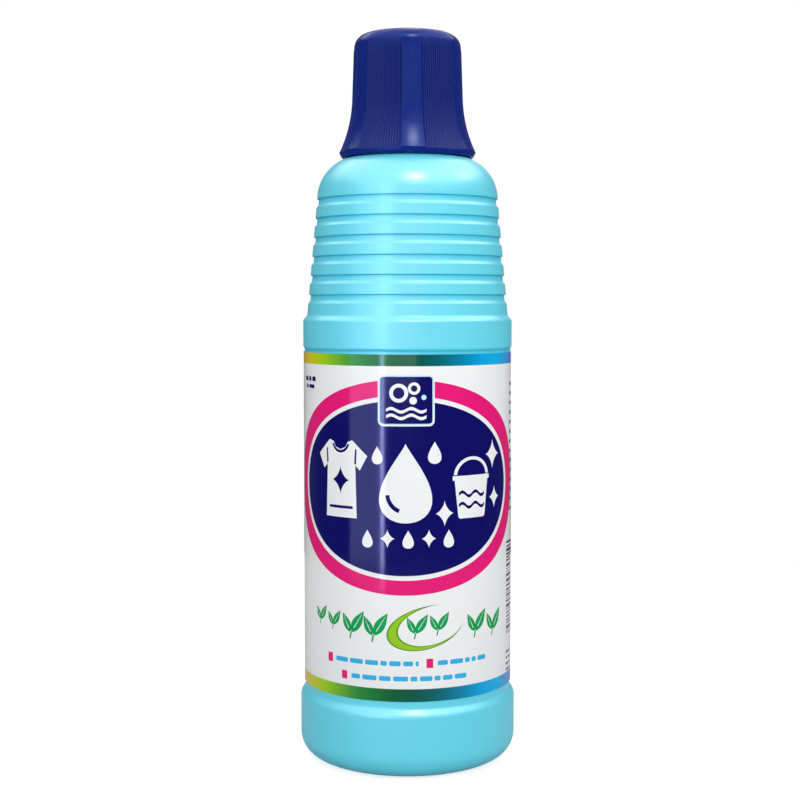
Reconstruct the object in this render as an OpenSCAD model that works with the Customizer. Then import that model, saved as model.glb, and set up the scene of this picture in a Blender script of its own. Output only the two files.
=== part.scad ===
/* [Body] */
// Diameter of the smooth panel under the label
panel_d = 67; // [63:0.5:72]
// Height of the panel between the two collars
panel_h = 110.2; // [90:0.2:130]
// Wall of the blow-moulded body
wall = 0.9; // [0.6:0.1:1.2]

/* [Base] */
// How far the base collar stands out of the panel
collar_out = 1.5; // [0.6:0.1:2.4]
// Height of the base collar up to its sloped top edge
collar_h = 20.2; // [15:0.2:28]
// Height of the sloped top edge of the base collar
collar_slope = 2.2; // [1.4:0.1:3.4]
// Radius of the round bottom corner
corner_r = 7.4; // [5:0.1:9]
// Width of the flat ring that the bottle stands on
bearing_w = 4; // [2.5:0.1:6]
// Rise of the underside in the middle of the base
push_up = 3.2; // [2:0.1:4.5]
// Height of the pinched seam across the underside
pinch_h = 0.5; // [0.3:0.1:0.9]

/* [Upper collar] */
// How far the upper collar stands out of the panel
upper_out = 0.46; // [0.3:0.02:1]
// Height of the upper collar
upper_h = 9.2; // [6:0.1:13]
// Height of the slope from the upper collar to the shoulder
upper_slope = 1.6; // [1:0.1:2.4]

/* [Ribbed shoulder] */
// Number of grooves round the shoulder
groove_count = 6; // [4:1:7]
// Height from one groove to the next
groove_pitch = 6.17; // [5.4:0.01:7]
// Height of one groove
groove_h = 2.8; // [2.2:0.1:3.2]
// Depth of one groove
groove_depth = 0.6; // [0.3:0.05:0.7]
// Height of the sloped lower side of a groove
groove_ramp = 0.9; // [0.6:0.1:1.2]
// Plain band between the upper collar and the first groove
first_band_h = 3.8; // [3:0.1:6]
// How much the shoulder radius lessens per millimetre of height
shoulder_taper = 0.0887; // [0.06:0.0001:0.11]
// How far the shoulder starts inside the upper collar
shoulder_in = 1.3; // [0.8:0.05:2]

/* [Dome and neck] */
// Radius of the dome's curve
dome_r = 14; // [12:0.1:15]
// Height of the dome from the last groove to the shelf
dome_h = 13; // [11.6:0.1:13.2]
// Outside diameter of the neck
neck_d = 29; // [27:0.1:29.4]
// Wall of the neck
neck_wall = 1.7; // [1.2:0.1:2.4]
// How far the bead stands out of the neck
bead_out = 1.2; // [0.6:0.1:1.3]
// Height of the bead
bead_h = 1.6; // [1:0.1:2.4]
// Distance from the mouth down to the bead
bead_drop = 18; // [14:0.5:24]

/* [Cap] */
// Height of the cap
cap_h = 39.8; // [36:0.1:46]
// Wall between the cap's bore and its sides at the top
cap_wall = 1.15; // [1.05:0.05:2.4]
// How much the grip's radius grows per millimetre going down
cap_taper = 0.033; // [0.02:0.001:0.04]
// Depth below the top where the flare begins
flare_start = 21; // [18:0.1:23]
// Radius of the flare's curve
flare_r = 42; // [38:0.5:60]
// Height of the rim band under the grip
rim_h = 1.7; // [1.2:0.1:2.6]
// How far the rim band draws in at the bottom
rim_in = 0.6; // [0.3:0.1:0.8]
// Radius of the cap's top corner
top_r = 4.4; // [3:0.1:5]
// Thickness of the cap's top plate
plate_t = 1.6; // [1.2:0.1:2.4]
// Radial room for the screw thread between neck and cap
thread_room = 1.6; // [1.5:0.05:1.8]

/* [Grip] */
// Number of smooth panels round the grip
grip_panels = 6; // [4:1:8]
// Width of one smooth panel in degrees
grip_panel_w = 20; // [10:0.5:26]
// Number of flutes between two panels
flute_count = 16; // [8:1:18]
// Depth of one flute
flute_depth = 0.3; // [0.15:0.05:0.35]
// Turn of the first panel from the front in degrees
grip_turn = 4.6; // [-30:0.1:30]

/* [Label] */
// Bare strip of the panel under the label
label_up = 2.35; // [1.5:0.05:6]
// Bare strip of the panel over the label
label_down = 0.95; // [0.6:0.05:6]
// Thickness of the film
film_t = 0.15; // [0.1:0.01:0.25]
// Layer of glue between film and bottle
glue_t = 0.05; // [0.04:0.01:0.1]
// Length of the glued lap at the back
lap_w = 8; // [5:0.5:12]

/* [Liner and clearances] */
// Thickness of the sealing disc
liner_t = 1.2; // [0.8:0.1:2]
// Room round the sealing disc
liner_gap = 0.5; // [0.3:0.05:0.8]
// Gap between the cap's rim and the shelf under it
cap_gap = 0.35; // [0.3:0.05:0.8]

/* [Hidden] */
$fn = 96;

panel_r = panel_d / 2;
collar_r = panel_r + collar_out;
upper_r = panel_r + upper_out;
panel_z = collar_h + collar_slope;
upper_z = panel_z + panel_h;
shoulder_z = upper_z + upper_h + upper_slope;
groove_z = shoulder_z + first_band_h;
dome_z = groove_z + (groove_count - 1) * groove_pitch + groove_h;
shelf_z = dome_z + dome_h;
dome_edge_r = land_r(dome_z);
dome_axis_r = dome_edge_r - dome_r;

neck_r = neck_d / 2;
bore_r = neck_r - neck_wall;
cap_bore_r = neck_r + thread_room;
cap_z = shelf_z + cap_gap;
cap_top = cap_z + cap_h;
mouth_z = cap_top - plate_t - liner_t;
flare_z = cap_h - flare_start;
liner_r = cap_bore_r - liner_gap;
label_r = panel_r + glue_t;
label_h = panel_h - label_up - label_down;

// Radius of the shoulder's lands at height z
function land_r(z) = upper_r - shoulder_in - shoulder_taper * (z - shoulder_z);

// Radius of the shoulder's inside, smooth behind the grooves
function inner_r(z) = land_r(z) - groove_depth - wall;

function unit(v) = v / norm(v);
function heading(v) = atan2(v[1], v[0]);
function turn(a, b) = (b - a) > 180 ? b - a - 360 : (b - a) < -180 ? b - a + 360 : b - a;
function arc(c, r, a, b, n) = [for (i = [0:n]) let (t = a + (b - a) * i / n) c + r * [cos(t), sin(t)]];

// The points of one rounded corner q between its neighbours p and s
function corner(p, q, s) =
    q[2] <= 0 ? [[q[0], q[1]]] :
    let (
        o = [q[0], q[1]],
        u = unit([p[0], p[1]] - o),
        v = unit([s[0], s[1]] - o),
        half = acos(max(-1, min(1, u * v))) / 2,
        c = o + unit(u + v) * q[2] / sin(half),
        a = heading(o + u * q[2] / tan(half) - c),
        sweep = turn(a, heading(o + v * q[2] / tan(half) - c)),
        n = max(2, ceil(abs(sweep) * sqrt(q[2]) / 24))
    )
    arc(c, q[2], a, a + sweep, n);

// A closed outline whose corners [x, y, radius] are rounded
function rounded(pts) =
    let (n = len(pts))
    [for (i = [0:n - 1]) each corner(pts[(i + n - 1) % n], pts[i], pts[(i + 1) % n])];

// The underside of the base from the middle out to the standing ring
function push_up_line(up, in) = [
    [0, push_up + up, 0],
    [(collar_r - corner_r - bearing_w - in) * 0.6, push_up + up, 6],
    [collar_r - corner_r - bearing_w - in, up, 1.5]
];

// One shoulder groove, from its sloped lower side to its sharp upper side
function groove(z) = [
    [land_r(z), z, 0.3],
    [land_r(z + groove_ramp) - groove_depth, z + groove_ramp, 0.3],
    [land_r(z + groove_h) - groove_depth, z + groove_h - 0.1, 0.15],
    [land_r(z + groove_h), z + groove_h, 0.25]
];

// The dome's curve, inset by d, from just over its lower edge in to the shelf round the neck
function dome(d) =
    let (
        r = dome_r - d,
        end = asin((shelf_z - d - dome_z) / r)
    )
    [for (i = [1:10]) let (t = end * i / 10) [dome_axis_r + r * cos(t), dome_z + r * sin(t), 0]];

// The outside, from the middle of the base up to the mouth
function bottle_outside() = concat(
    push_up_line(0, 0),
    [
        [collar_r, 0, corner_r],
        [collar_r, collar_h, 2.4],
        [panel_r, panel_z, 1],
        [panel_r, upper_z, 0.5],
        [upper_r, upper_z + 0.8, 0.5],
        [upper_r, upper_z + upper_h, 1],
        [land_r(shoulder_z), shoulder_z, 0.6]
    ],
    [for (i = [0:groove_count - 1]) each groove(groove_z + i * groove_pitch)],
    dome(0),
    [
        [neck_r, shelf_z, 1.2],
        [neck_r, mouth_z - bead_drop - bead_h - 0.6, 0],
        [neck_r + bead_out, mouth_z - bead_drop - bead_h, 0.4],
        [neck_r + bead_out, mouth_z - bead_drop, 0.4],
        [neck_r, mouth_z - bead_drop + 0.3, 0.3],
        [neck_r, mouth_z, 0.5]
    ]
);

// The inside, from the mouth down to the middle of the base
function bottle_inside() = concat(
    [
        [bore_r, mouth_z, 0.4],
        [bore_r, shelf_z - wall, 1.5]
    ],
    [for (i = [9:-1:0]) let (p = dome(wall)[i]) if (p[0] > bore_r + 2.5 && p[0] < inner_r(dome_z) - 0.2) p],
    [
        [inner_r(dome_z), dome_z + 3, 0],
        [inner_r(shoulder_z), shoulder_z, 3],
        [panel_r - wall, upper_z, 3],
        [panel_r - wall, panel_z, 3],
        [collar_r - wall, collar_h, 3],
        [collar_r - wall, wall, corner_r - wall]
    ],
    [for (i = [2:-1:0]) push_up_line(wall, wall / 2)[i]]
);

// The bottle: one hollow moulding from the standing ring to the mouth
module bottle() {
    color([0.47, 0.86, 0.94]) {
        rotate_extrude() polygon(rounded(concat(bottle_outside(), bottle_inside())));
        pinch_seam();
    }
}

// The seam that the mould pinches across the underside
module pinch_seam() {
    intersection() {
        rotate_extrude() polygon(rounded([
            [0, push_up - pinch_h, 0],
            [(collar_r - corner_r - bearing_w) * 0.6, push_up - pinch_h, 6],
            [collar_r - corner_r - bearing_w - 2, pinch_h, 0],
            [collar_r - corner_r - bearing_w - 2, pinch_h + wall / 2, 0],
            [(collar_r - corner_r - bearing_w) * 0.6, push_up + wall / 2, 6],
            [0, push_up + wall / 2, 0]
        ]));
        translate([-collar_r, -wall / 2, 0]) cube([2 * collar_r, wall, push_up + wall]);
    }
}

// A ring from radius r out to r + t
module ring(r, t) {
    difference() {
        circle(r + t);
        circle(r);
    }
}

// The label: film wound round the panel, one end lapped over the other at the back
module label() {
    half = lap_w / label_r * 90 / PI;
    far = 2 * panel_r;
    color([0.93, 0.93, 0.94]) translate([0, 0, panel_z + label_up]) linear_extrude(label_h) {
        ring(label_r, film_t);
        intersection() {
            ring(label_r + film_t / 2, 1.5 * film_t);
            polygon([[0, 0], far * [sin(half), cos(half)], far * [-sin(half), cos(half)]]);
        }
    }
}

// Radius of the cap's sides at height z over its rim, before the corner is rounded
function side_r(z) =
    cap_bore_r + cap_wall + cap_taper * (cap_h - z) +
    (z < flare_z ? flare_r - sqrt(pow(flare_r, 2) - pow(flare_z - z, 2)) : 0);

// Radius of the flared inside at height z over the rim
function skirt_r(z) = cap_bore_r + flare_r - sqrt(pow(flare_r, 2) - pow(flare_z - z, 2));

// Heights of the rings over the rim, up to where the top corner starts
ring_z = concat(
    [for (i = [0:7]) rim_h + (flare_z - rim_h) * i / 7],
    [cap_h - top_r]
);

// The cap's outside as [radius, height, flute share] from the rim to the top
cap_rings = concat(
    [
        [side_r(rim_h) - rim_in - 0.4, 0, 0],
        [side_r(rim_h) - rim_in, 0.4, 0],
        [side_r(rim_h), rim_h - 0.05, 0]
    ],
    [for (z = ring_z) [side_r(z), z, 1]],
    [for (i = [1:5]) let (t = i * 18) [side_r(cap_h) - top_r * (1 - cos(t)), cap_h - top_r * (1 - sin(t)), 1]]
);

// Turns of one grip sector: a smooth panel, then flutes that are valley and crest in turn
grip_step = 360 / grip_panels;
flute_step = (grip_step - grip_panel_w) / flute_count;
sector = concat(
    [for (i = [0:5]) [grip_panel_w * (i / 6 - 0.5), 0]],
    [for (i = [0:2 * flute_count - 1])
        [grip_panel_w / 2 + i * flute_step / 2, i % 2 == 0 ? 0 : i == 1 || i == 2 * flute_count - 1 ? 1.3 : 1]]
);
grip = [for (k = [0:grip_panels - 1]) for (s = sector) [s[0] + k * grip_step, s[1]]];

// One point of the grip: a flute's floor runs straight until the round corner meets it
function grip_point(ring, g) =
    let (
        floor_r = side_r(ring[1]) - flute_depth * g[1] * ring[2],
        r = min(ring[0], ring[2] > 0 ? floor_r : ring[0]),
        a = g[0] + grip_turn - 90
    )
    [r * cos(a), r * sin(a), ring[1]];

// The fluted outside of the cap as one closed loft
module grip_loft() {
    n = len(grip);
    m = len(cap_rings);
    points = concat(
        [for (ring = cap_rings) for (g = grip) grip_point(ring, g)],
        [[0, 0, 0], [0, 0, cap_h]]
    );
    faces = concat(
        [for (i = [0:m - 2]) for (j = [0:n - 1]) [i * n + j, (i + 1) * n + j, (i + 1) * n + (j + 1) % n]],
        [for (i = [0:m - 2]) for (j = [0:n - 1]) [i * n + j, (i + 1) * n + (j + 1) % n, i * n + (j + 1) % n]],
        [for (j = [0:n - 1]) [m * n, j, (j + 1) % n]],
        [for (j = [0:n - 1]) [m * n + 1, (m - 1) * n + (j + 1) % n, (m - 1) * n + j]]
    );
    polyhedron(points, faces);
}

// The cap's hollow: bore for the neck, then the flared skirt
module cap_hollow() {
    rotate_extrude() polygon(concat(
        [
            [0, -1],
            [skirt_r(0), -1]
        ],
        [for (i = [0:8]) [skirt_r(flare_z * i / 8), flare_z * i / 8]],
        rounded([
            [cap_bore_r, flare_z + 1, 0],
            [cap_bore_r, cap_h - plate_t, 0.4],
            [0, cap_h - plate_t, 0]
        ])
    ));
}

// The cap: one moulding with a fluted grip, smooth panels and a flared skirt
module cap() {
    color([0.12, 0.16, 0.5]) translate([0, 0, cap_z]) difference() {
        grip_loft();
        cap_hollow();
    }
}

// The sealing disc between the mouth and the cap's top plate
module cap_liner() {
    color([0.92, 0.92, 0.9]) translate([0, 0, mouth_z]) cylinder(r = liner_r, h = liner_t);
}

bottle();
label();
cap();
cap_liner();
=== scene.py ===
import math
from math import cos, pi, sin, tau

import bmesh
import bpy
import numpy as np
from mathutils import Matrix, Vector
from mathutils.geometry import delaunay_2d_cdt


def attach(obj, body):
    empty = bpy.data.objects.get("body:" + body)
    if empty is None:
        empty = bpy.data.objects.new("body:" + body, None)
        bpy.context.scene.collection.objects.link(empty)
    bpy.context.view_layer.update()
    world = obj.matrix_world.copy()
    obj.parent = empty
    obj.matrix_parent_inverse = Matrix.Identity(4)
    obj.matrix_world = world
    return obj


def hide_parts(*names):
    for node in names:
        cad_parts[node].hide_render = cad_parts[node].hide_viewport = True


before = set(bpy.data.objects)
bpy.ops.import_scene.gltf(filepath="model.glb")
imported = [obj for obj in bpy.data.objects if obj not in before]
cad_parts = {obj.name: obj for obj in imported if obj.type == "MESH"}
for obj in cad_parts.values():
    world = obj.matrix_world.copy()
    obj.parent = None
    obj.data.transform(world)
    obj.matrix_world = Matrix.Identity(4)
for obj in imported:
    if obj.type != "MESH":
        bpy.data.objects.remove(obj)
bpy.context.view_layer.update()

MM = 0.001

# ---------------------------------------------------------------- sizes in mm, as in the solids
# the bottle
PANEL_R = 33.5
COLLAR_R = 35.0
UPPER_R = 33.96
COLLAR_H = 20.2
CORNER_R = 7.4
PANEL_Z = 22.4
UPPER_Z = 132.6
UPPER_H = 9.2
UPPER_SLOPE = 0.8
SHOULDER_Z = 143.4
GROOVE_Z = 147.2
GROOVES = 6
GROOVE_PITCH = 6.17
GROOVE_H = 2.8
GROOVE_DEPTH = 0.6
GROOVE_RAMP = 0.9
GROOVE_LIP = 0.1
SHOULDER_IN = 1.3
SHOULDER_TAPER = 0.0887
DOME_R = 14.0
DOME_Z = 180.85
SHELF_Z = 193.85
NECK_R = 14.5
BORE_R = 12.8
MOUTH_Z = 231.2
BEAD_OUT = 1.2
BEAD_H = 1.6
BEAD_Z = 213.2
BEAD_RAMP = 0.6
WALL = 0.9
FOOT_R = 23.6
PUSH_UP = 3.2
PUSH_SHARE = 0.6  # of the foot's radius, where the push-up bends
PUSH_BEND = 6
PINCH_H = 0.5
PINCH_BEVEL = 0.15
PINCH_SHORT = 2  # how far its ends stop inside the foot

# the cap
CAP_Z = 194.2
CAP_H = 39.8
CAP_BORE_R = 16.1
CAP_WALL = 1.15
CAP_TAPER = 0.033
FLARE_Z = 18.8
FLARE_R = 42.0
RIM_H = 1.7
RIM_IN = 0.6
TOP_R = 4.4
PLATE_T = 1.6
PANELS = 6
GRIP_PANEL = 20.0
FLUTES = 16
FLUTE_DEPTH = 0.3
GRIP_TURN = 4.6
EDGE_SHIFT = 0.1  # degrees that keep the panels' edges off the mesh's own columns
# radius, depth and rounding of the dimple's corners, from the middle of the top outwards
DIMPLE = [(0, 0.35, 0), (0.5, 0.35, 0.2), (0.9, 0.6, 0.2), (1.5, 0.6, 0.3), (2.2, 0, 0.3)]

# the label
FILM_R = 33.7
FILM_T = 0.15
LABEL_LOW = 24.75
LABEL_TOP = 131.65
TOP_STRIPE_H = 3.55
LOW_STRIPE_H = 3.95
HALF_ROUND = pi * FILM_R
LAP = 4.0
LAP_RAMP = 0.6

# the sealing disc and the screw threads
LINER_R = 15.6
NECK_CREST_R = 15.7
CAP_CREST_R = 15.0
LEAD = 8.0
THREAD_LOW = 217.6
THREAD_OFFSET = 2.0  # how far the cap's ridge starts above the neck's
THREAD_SINK = 0.35
THREAD_START = -0.4  # in radians

# how the meshes are made
# painted shade in creases: full within the core, in mm, of a crease's corner, then fading out over
# the fade
CREASE_SHADE_CORE = 0.25
CREASE_SHADE_FADE = 0.45
NO_SIDE = 1000.0  # side radius of a row that takes no flutes
FIRST_FLUTE = 0.3  # how much deeper the flute beside a panel is cut
PINCH_COLUMNS = 61
SHEET_COLUMNS = 150


# ---------------------------------------------------------------- nodes
def add(tree, kind, values=None, **settings):
    """Adds a node. Settings are its options, and values go to its inputs by name or number,
    linked where they are sockets."""
    node = tree.nodes.new(kind)
    for name, value in settings.items():
        setattr(node, name, value)
    for key, value in (values or {}).items():
        if isinstance(value, bpy.types.NodeSocket):
            tree.links.new(value, node.inputs[key])
        else:
            node.inputs[key].default_value = value
    return node


def calc(tree, operation, *terms, **settings):
    """The result of one math node."""
    values = dict(enumerate(terms))
    return add(tree, "ShaderNodeMath", values, operation=operation, **settings).outputs[0]


def group(name, kind, inputs, outputs):
    """A node group with named inputs (name, socket, default) and outputs (name, socket)."""
    tree = bpy.data.node_groups.new(name, kind)
    for label, socket, default in inputs:
        item = tree.interface.new_socket(name=label, in_out="INPUT", socket_type=socket)
        if default is not None:
            item.default_value = default
    for label, socket in outputs:
        tree.interface.new_socket(name=label, in_out="OUTPUT", socket_type=socket)
    return tree, tree.nodes.new("NodeGroupInput").outputs, tree.nodes.new("NodeGroupOutput")


GEO, FLOAT, INT, MAT, COLOUR = (
    "NodeSocketGeometry",
    "NodeSocketFloat",
    "NodeSocketInt",
    "NodeSocketMaterial",
    "NodeSocketColor",
)


def stored(tree, name, outline, row):
    """The number that the outline's point of a row has stored under a name."""
    value = add(tree, "GeometryNodeInputNamedAttribute", {0: name}, data_type="FLOAT").outputs[0]
    found = add(tree, "GeometryNodeSampleIndex", {0: outline, 1: value, 2: row}, data_type="FLOAT")
    return found.outputs[0]


def on_circle(tree, radius, angle, height):
    """The place at a radius and an angle about the bottle's axis."""
    x = calc(tree, "MULTIPLY", radius, calc(tree, "COSINE", angle))
    y = calc(tree, "MULTIPLY", radius, calc(tree, "SINE", angle))
    return add(tree, "ShaderNodeCombineXYZ", {0: x, 1: y, 2: height}).outputs[0]


def eased(tree, value, low, high, to_low, to_high, **settings):
    """A value between low and high, mapped to between to_low and to_high."""
    ends = {"From Min": low, "From Max": high, "To Min": to_low, "To Max": to_high}
    return add(tree, "ShaderNodeMapRange", {"Value": value, **ends}, **settings).outputs[0]


def swept_grid(tree, outline, steps):
    """A grid of steps by outline points: the mesh, the share of the sweep, and each point's
    radius, height and place in the outline."""
    count = add(tree, "GeometryNodeAttributeDomainSize", {0: outline}, component="MESH").outputs[0]
    grid = add(tree, "GeometryNodeMeshGrid", {2: calc(tree, "ADD", steps, 1.0), 3: count})
    index = add(tree, "GeometryNodeInputIndex").outputs[0]
    column = calc(tree, "FLOOR", calc(tree, "DIVIDE", calc(tree, "ADD", index, 0.5), count))
    row = calc(tree, "SUBTRACT", index, calc(tree, "MULTIPLY", column, count))
    place = add(tree, "GeometryNodeInputPosition").outputs[0]
    point = add(
        tree, "GeometryNodeSampleIndex", {0: outline, 1: place, 2: row}, data_type="FLOAT_VECTOR"
    ).outputs[0]
    split = add(tree, "ShaderNodeSeparateXYZ", {0: point}).outputs
    return grid.outputs[0], calc(tree, "DIVIDE", column, steps), split[0], split[2], row


def merged(tree, mesh):
    """The mesh with points that coincide made one."""
    near = {"Geometry": mesh, "Distance": 1e-6}
    return add(tree, "GeometryNodeMergeByDistance", near).outputs[0]


def round_axis(tree, mesh, radius, angle, height):
    """Puts the grid's points round the bottle's axis and joins the ends."""
    spot = on_circle(tree, radius, angle, height)
    moved = add(tree, "GeometryNodeSetPosition", {"Geometry": mesh, "Position": spot}).outputs[0]
    return merged(tree, moved)


def finish_tree(tree, mesh, material, out):
    """Ends a tree in a real mesh of one material."""
    real = add(tree, "GeometryNodeRealizeInstances", {0: mesh}).outputs[0]
    painted = add(tree, "GeometryNodeSetMaterial", {"Geometry": real, "Material": material})
    tree.links.new(painted.outputs[0], out.inputs[0])


def turned_form():
    """An outline turned about the axis. Where a row has a side radius, the grip's flutes are
    cut into that side. Each point stores how much painted shade it takes, from the flutes'
    valleys and the outline's creases."""
    tree, given, out = group(
        "turned form",
        "GeometryNodeTree",
        [
            ("Outline", GEO, None),
            ("Steps", INT, 192),
            ("Flute depth", FLOAT, 0.0),
            ("Panels", INT, 6),
            ("Panel width", FLOAT, 0.35),
            ("Flutes", INT, 16),
            ("Grip turn", FLOAT, 0.0),
            ("Material", MAT, None),
        ],
        [("Mesh", GEO)],
    )
    mesh, share, radius, height, row = swept_grid(tree, given["Outline"], given["Steps"])
    side = stored(tree, "side", given["Outline"], row)
    crease_shade = stored(tree, "crease_shade", given["Outline"], row)
    angle = calc(tree, "MULTIPLY", share, tau)
    sector = calc(tree, "DIVIDE", tau, given["Panels"])
    half_sector = calc(tree, "MULTIPLY", sector, 0.5)
    half_panel = calc(tree, "MULTIPLY", given["Panel width"], 0.5)
    from_panel = calc(tree, "SUBTRACT", angle, given["Grip turn"])
    from_panel = calc(tree, "WRAP", from_panel, half_sector, calc(tree, "MULTIPLY", sector, -0.5))
    past_edge = calc(tree, "SUBTRACT", calc(tree, "ABSOLUTE", from_panel), half_panel)
    fluted_arc = calc(tree, "SUBTRACT", sector, given["Panel width"])
    count = calc(tree, "DIVIDE", past_edge, calc(tree, "DIVIDE", fluted_arc, given["Flutes"]))
    on_flutes = calc(tree, "GREATER_THAN", count, 0.0)
    wave = calc(tree, "COSINE", calc(tree, "MULTIPLY", count, tau))
    wave = calc(tree, "MULTIPLY", calc(tree, "SUBTRACT", 1.0, wave), 0.5)
    first = calc(tree, "MULTIPLY", calc(tree, "LESS_THAN", count, 1.0), FIRST_FLUTE)
    cut = calc(tree, "MULTIPLY", wave, calc(tree, "ADD", first, 1.0))
    cut = calc(tree, "MULTIPLY", cut, on_flutes)
    cut = calc(tree, "MULTIPLY", cut, given["Flute depth"])
    fluted = calc(tree, "MINIMUM", radius, calc(tree, "SUBTRACT", side, cut))
    depth = calc(tree, "SUBTRACT", radius, fluted)
    # painted shade: darker in the flutes' valleys and near the outline's creases
    shade_share = calc(tree, "DIVIDE", depth, calc(tree, "ADD", given["Flute depth"], 1e-6))
    shade_share = calc(tree, "MAXIMUM", crease_shade, shade_share, use_clamp=True)
    has_side = calc(tree, "LESS_THAN", side, NO_SIDE * MM / 2)
    zone = calc(tree, "MULTIPLY", on_flutes, has_side)
    for name, value in (("crease_shade", shade_share), ("fluted", zone)):
        mesh = add(
            tree,
            "GeometryNodeStoreNamedAttribute",
            {"Geometry": mesh, "Name": name, "Value": value},
            data_type="FLOAT",
            domain="POINT",
        ).outputs[0]
    finish_tree(tree, round_axis(tree, mesh, fluted, angle, height), given["Material"], out)
    return tree


def thread_form():
    """A closed ridge outline swept up a helix, sinking into the wall at both ends."""
    tree, given, out = group(
        "screw thread",
        "GeometryNodeTree",
        [
            ("Outline", GEO, None),
            ("Steps", INT, 120),
            ("Start", FLOAT, 0.0),
            ("Sweep", FLOAT, 4.7),
            ("Lead", FLOAT, 0.008),
            ("Ends", FLOAT, 0.1),
            ("Root", FLOAT, 0.014),
            ("Material", MAT, None),
        ],
        [("Mesh", GEO)],
    )
    mesh, share, radius, height, row = swept_grid(tree, given["Outline"], given["Steps"])
    turned = calc(tree, "MULTIPLY", share, given["Sweep"])
    nearer = calc(tree, "MINIMUM", share, calc(tree, "SUBTRACT", 1.0, share))
    rise = calc(tree, "MINIMUM", calc(tree, "DIVIDE", nearer, given["Ends"]), 1.0)
    rise = calc(tree, "DIVIDE", calc(tree, "SINE", rise), sin(1.0))
    proud = calc(tree, "MULTIPLY", calc(tree, "SUBTRACT", radius, given["Root"]), rise)
    lifted = calc(tree, "DIVIDE", calc(tree, "MULTIPLY", turned, given["Lead"]), tau)
    mesh = round_axis(
        tree,
        mesh,
        calc(tree, "ADD", proud, given["Root"]),
        calc(tree, "ADD", turned, given["Start"]),
        calc(tree, "ADD", height, lifted),
    )
    finish_tree(tree, mesh, given["Material"], out)
    return tree


def wrapped_film():
    """A flat printed sheet given its thickness and wound round the panel, one end raised over
    the other."""
    tree, given, out = group(
        "wrapped film",
        "GeometryNodeTree",
        [
            ("Sheet", GEO, None),
            ("Radius", FLOAT, 0.0337),
            ("Thickness", FLOAT, 0.00015),
            ("Lap from", FLOAT, -0.1),
            ("Lap ramp", FLOAT, 0.0006),
            ("Material", MAT, None),
        ],
        [("Mesh", GEO)],
    )
    inward = add(
        tree,
        "GeometryNodeExtrudeMesh",
        {0: given["Sheet"], 2: (0.0, 1.0, 0.0), 3: given["Thickness"], "Individual": False},
        mode="FACES",
    )
    both = add(tree, "GeometryNodeJoinGeometry")
    tree.links.new(given["Sheet"], both.inputs[0])
    tree.links.new(inward.outputs[0], both.inputs[0])
    shell = merged(tree, both.outputs[0])
    place = add(tree, "GeometryNodeInputPosition").outputs[0]
    along, depth, height = add(tree, "ShaderNodeSeparateXYZ", {0: place}).outputs
    raised = calc(tree, "SUBTRACT", given["Lap from"], given["Lap ramp"])
    ends = (given["Lap from"], raised, 0.0, given["Thickness"])
    ramp = eased(tree, along, *ends, interpolation_type="SMOOTHSTEP")
    radius = calc(tree, "SUBTRACT", calc(tree, "ADD", given["Radius"], ramp), depth)
    angle = calc(tree, "SUBTRACT", calc(tree, "DIVIDE", along, given["Radius"]), pi / 2)
    spot = on_circle(tree, radius, angle, height)
    wound = add(tree, "GeometryNodeSetPosition", {"Geometry": shell, "Position": spot}).outputs[0]
    finish_tree(tree, wound, given["Material"], out)
    return tree


def grown(name, mesh, tree, values, material):
    """Runs a tree on a mesh and returns the result as a plain mesh."""
    piece = bpy.data.objects.new(name, mesh)
    bpy.context.scene.collection.objects.link(piece)
    modifier = piece.modifiers.new(tree.name, "NODES")
    modifier.node_group = tree
    values = {**values, "Material": material}
    for item in tree.interface.items_tree:
        if item.in_out == "INPUT" and item.name in values:
            modifier[item.identifier] = values[item.name]
    graph = bpy.context.evaluated_depsgraph_get()
    result = bpy.data.meshes.new_from_object(piece.evaluated_get(graph), depsgraph=graph)
    piece.modifiers.remove(modifier)
    bpy.data.objects.remove(piece)
    return result


def piece_of(name, meshes, material):
    """One piece out of several shells: doubles merged, open ends closed, faces outward."""
    shells = bmesh.new()
    for mesh in meshes:
        shells.from_mesh(mesh)
    bmesh.ops.remove_doubles(shells, verts=shells.verts, dist=1e-7)
    bmesh.ops.dissolve_degenerate(shells, edges=shells.edges, dist=1e-8)
    open_edges = [edge for edge in shells.edges if edge.is_boundary]
    if open_edges:
        bmesh.ops.holes_fill(shells, edges=open_edges, sides=0)
    bmesh.ops.recalc_face_normals(shells, faces=shells.faces)
    mesh = bpy.data.meshes.new(name)
    shells.to_mesh(mesh)
    shells.free()
    mesh.materials.clear()
    mesh.materials.append(material)
    mesh.shade_smooth()
    piece = bpy.data.objects.new(name, mesh)
    bpy.context.scene.collection.objects.link(piece)
    return piece


# ---------------------------------------------------------------- outlines
def corner(before, at, after, fine):
    """The points of one rounded corner [radius, height, rounding]."""
    spot = Vector(at[:2])
    if len(at) < 3 or at[2] <= 0:
        return [spot]
    u = (Vector(before[:2]) - spot).normalized()
    v = (Vector(after[:2]) - spot).normalized()
    half = math.acos(max(-1, min(1, u.dot(v)))) / 2
    centre = spot + (u + v).normalized() * (at[2] / sin(half))
    first = spot + u * (at[2] / math.tan(half)) - centre
    last = spot + v * (at[2] / math.tan(half)) - centre
    begin = math.atan2(first.y, first.x)
    sweep = (math.atan2(last.y, last.x) - begin + pi) % tau - pi
    count = max(3, math.ceil(abs(math.degrees(sweep)) * (1 + math.sqrt(at[2]) / 2) / fine))
    return [
        centre + at[2] * Vector((cos(begin + sweep * i / count), sin(begin + sweep * i / count)))
        for i in range(count + 1)
    ]


def rounded(points, fine=20, hold=0.35):
    """An outline with rounded corners, and a held point near both ends of a long straight."""
    line = []
    for i, point in enumerate(points):
        before, after = points[max(i - 1, 0)], points[min(i + 1, len(points) - 1)]
        ends = i in (0, len(points) - 1)
        line += [Vector(point[:2])] if ends else corner(before, point, after, fine)
    held = [line[0]]
    for a, b in zip(line, line[1:], strict=False):
        gap = (b - a).length
        if gap > 4 * hold:
            held += [a + (b - a) * (hold / gap), b + (a - b) * (hold / gap)]
        if gap > 1e-4:
            held.append(b)
    return held


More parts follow.
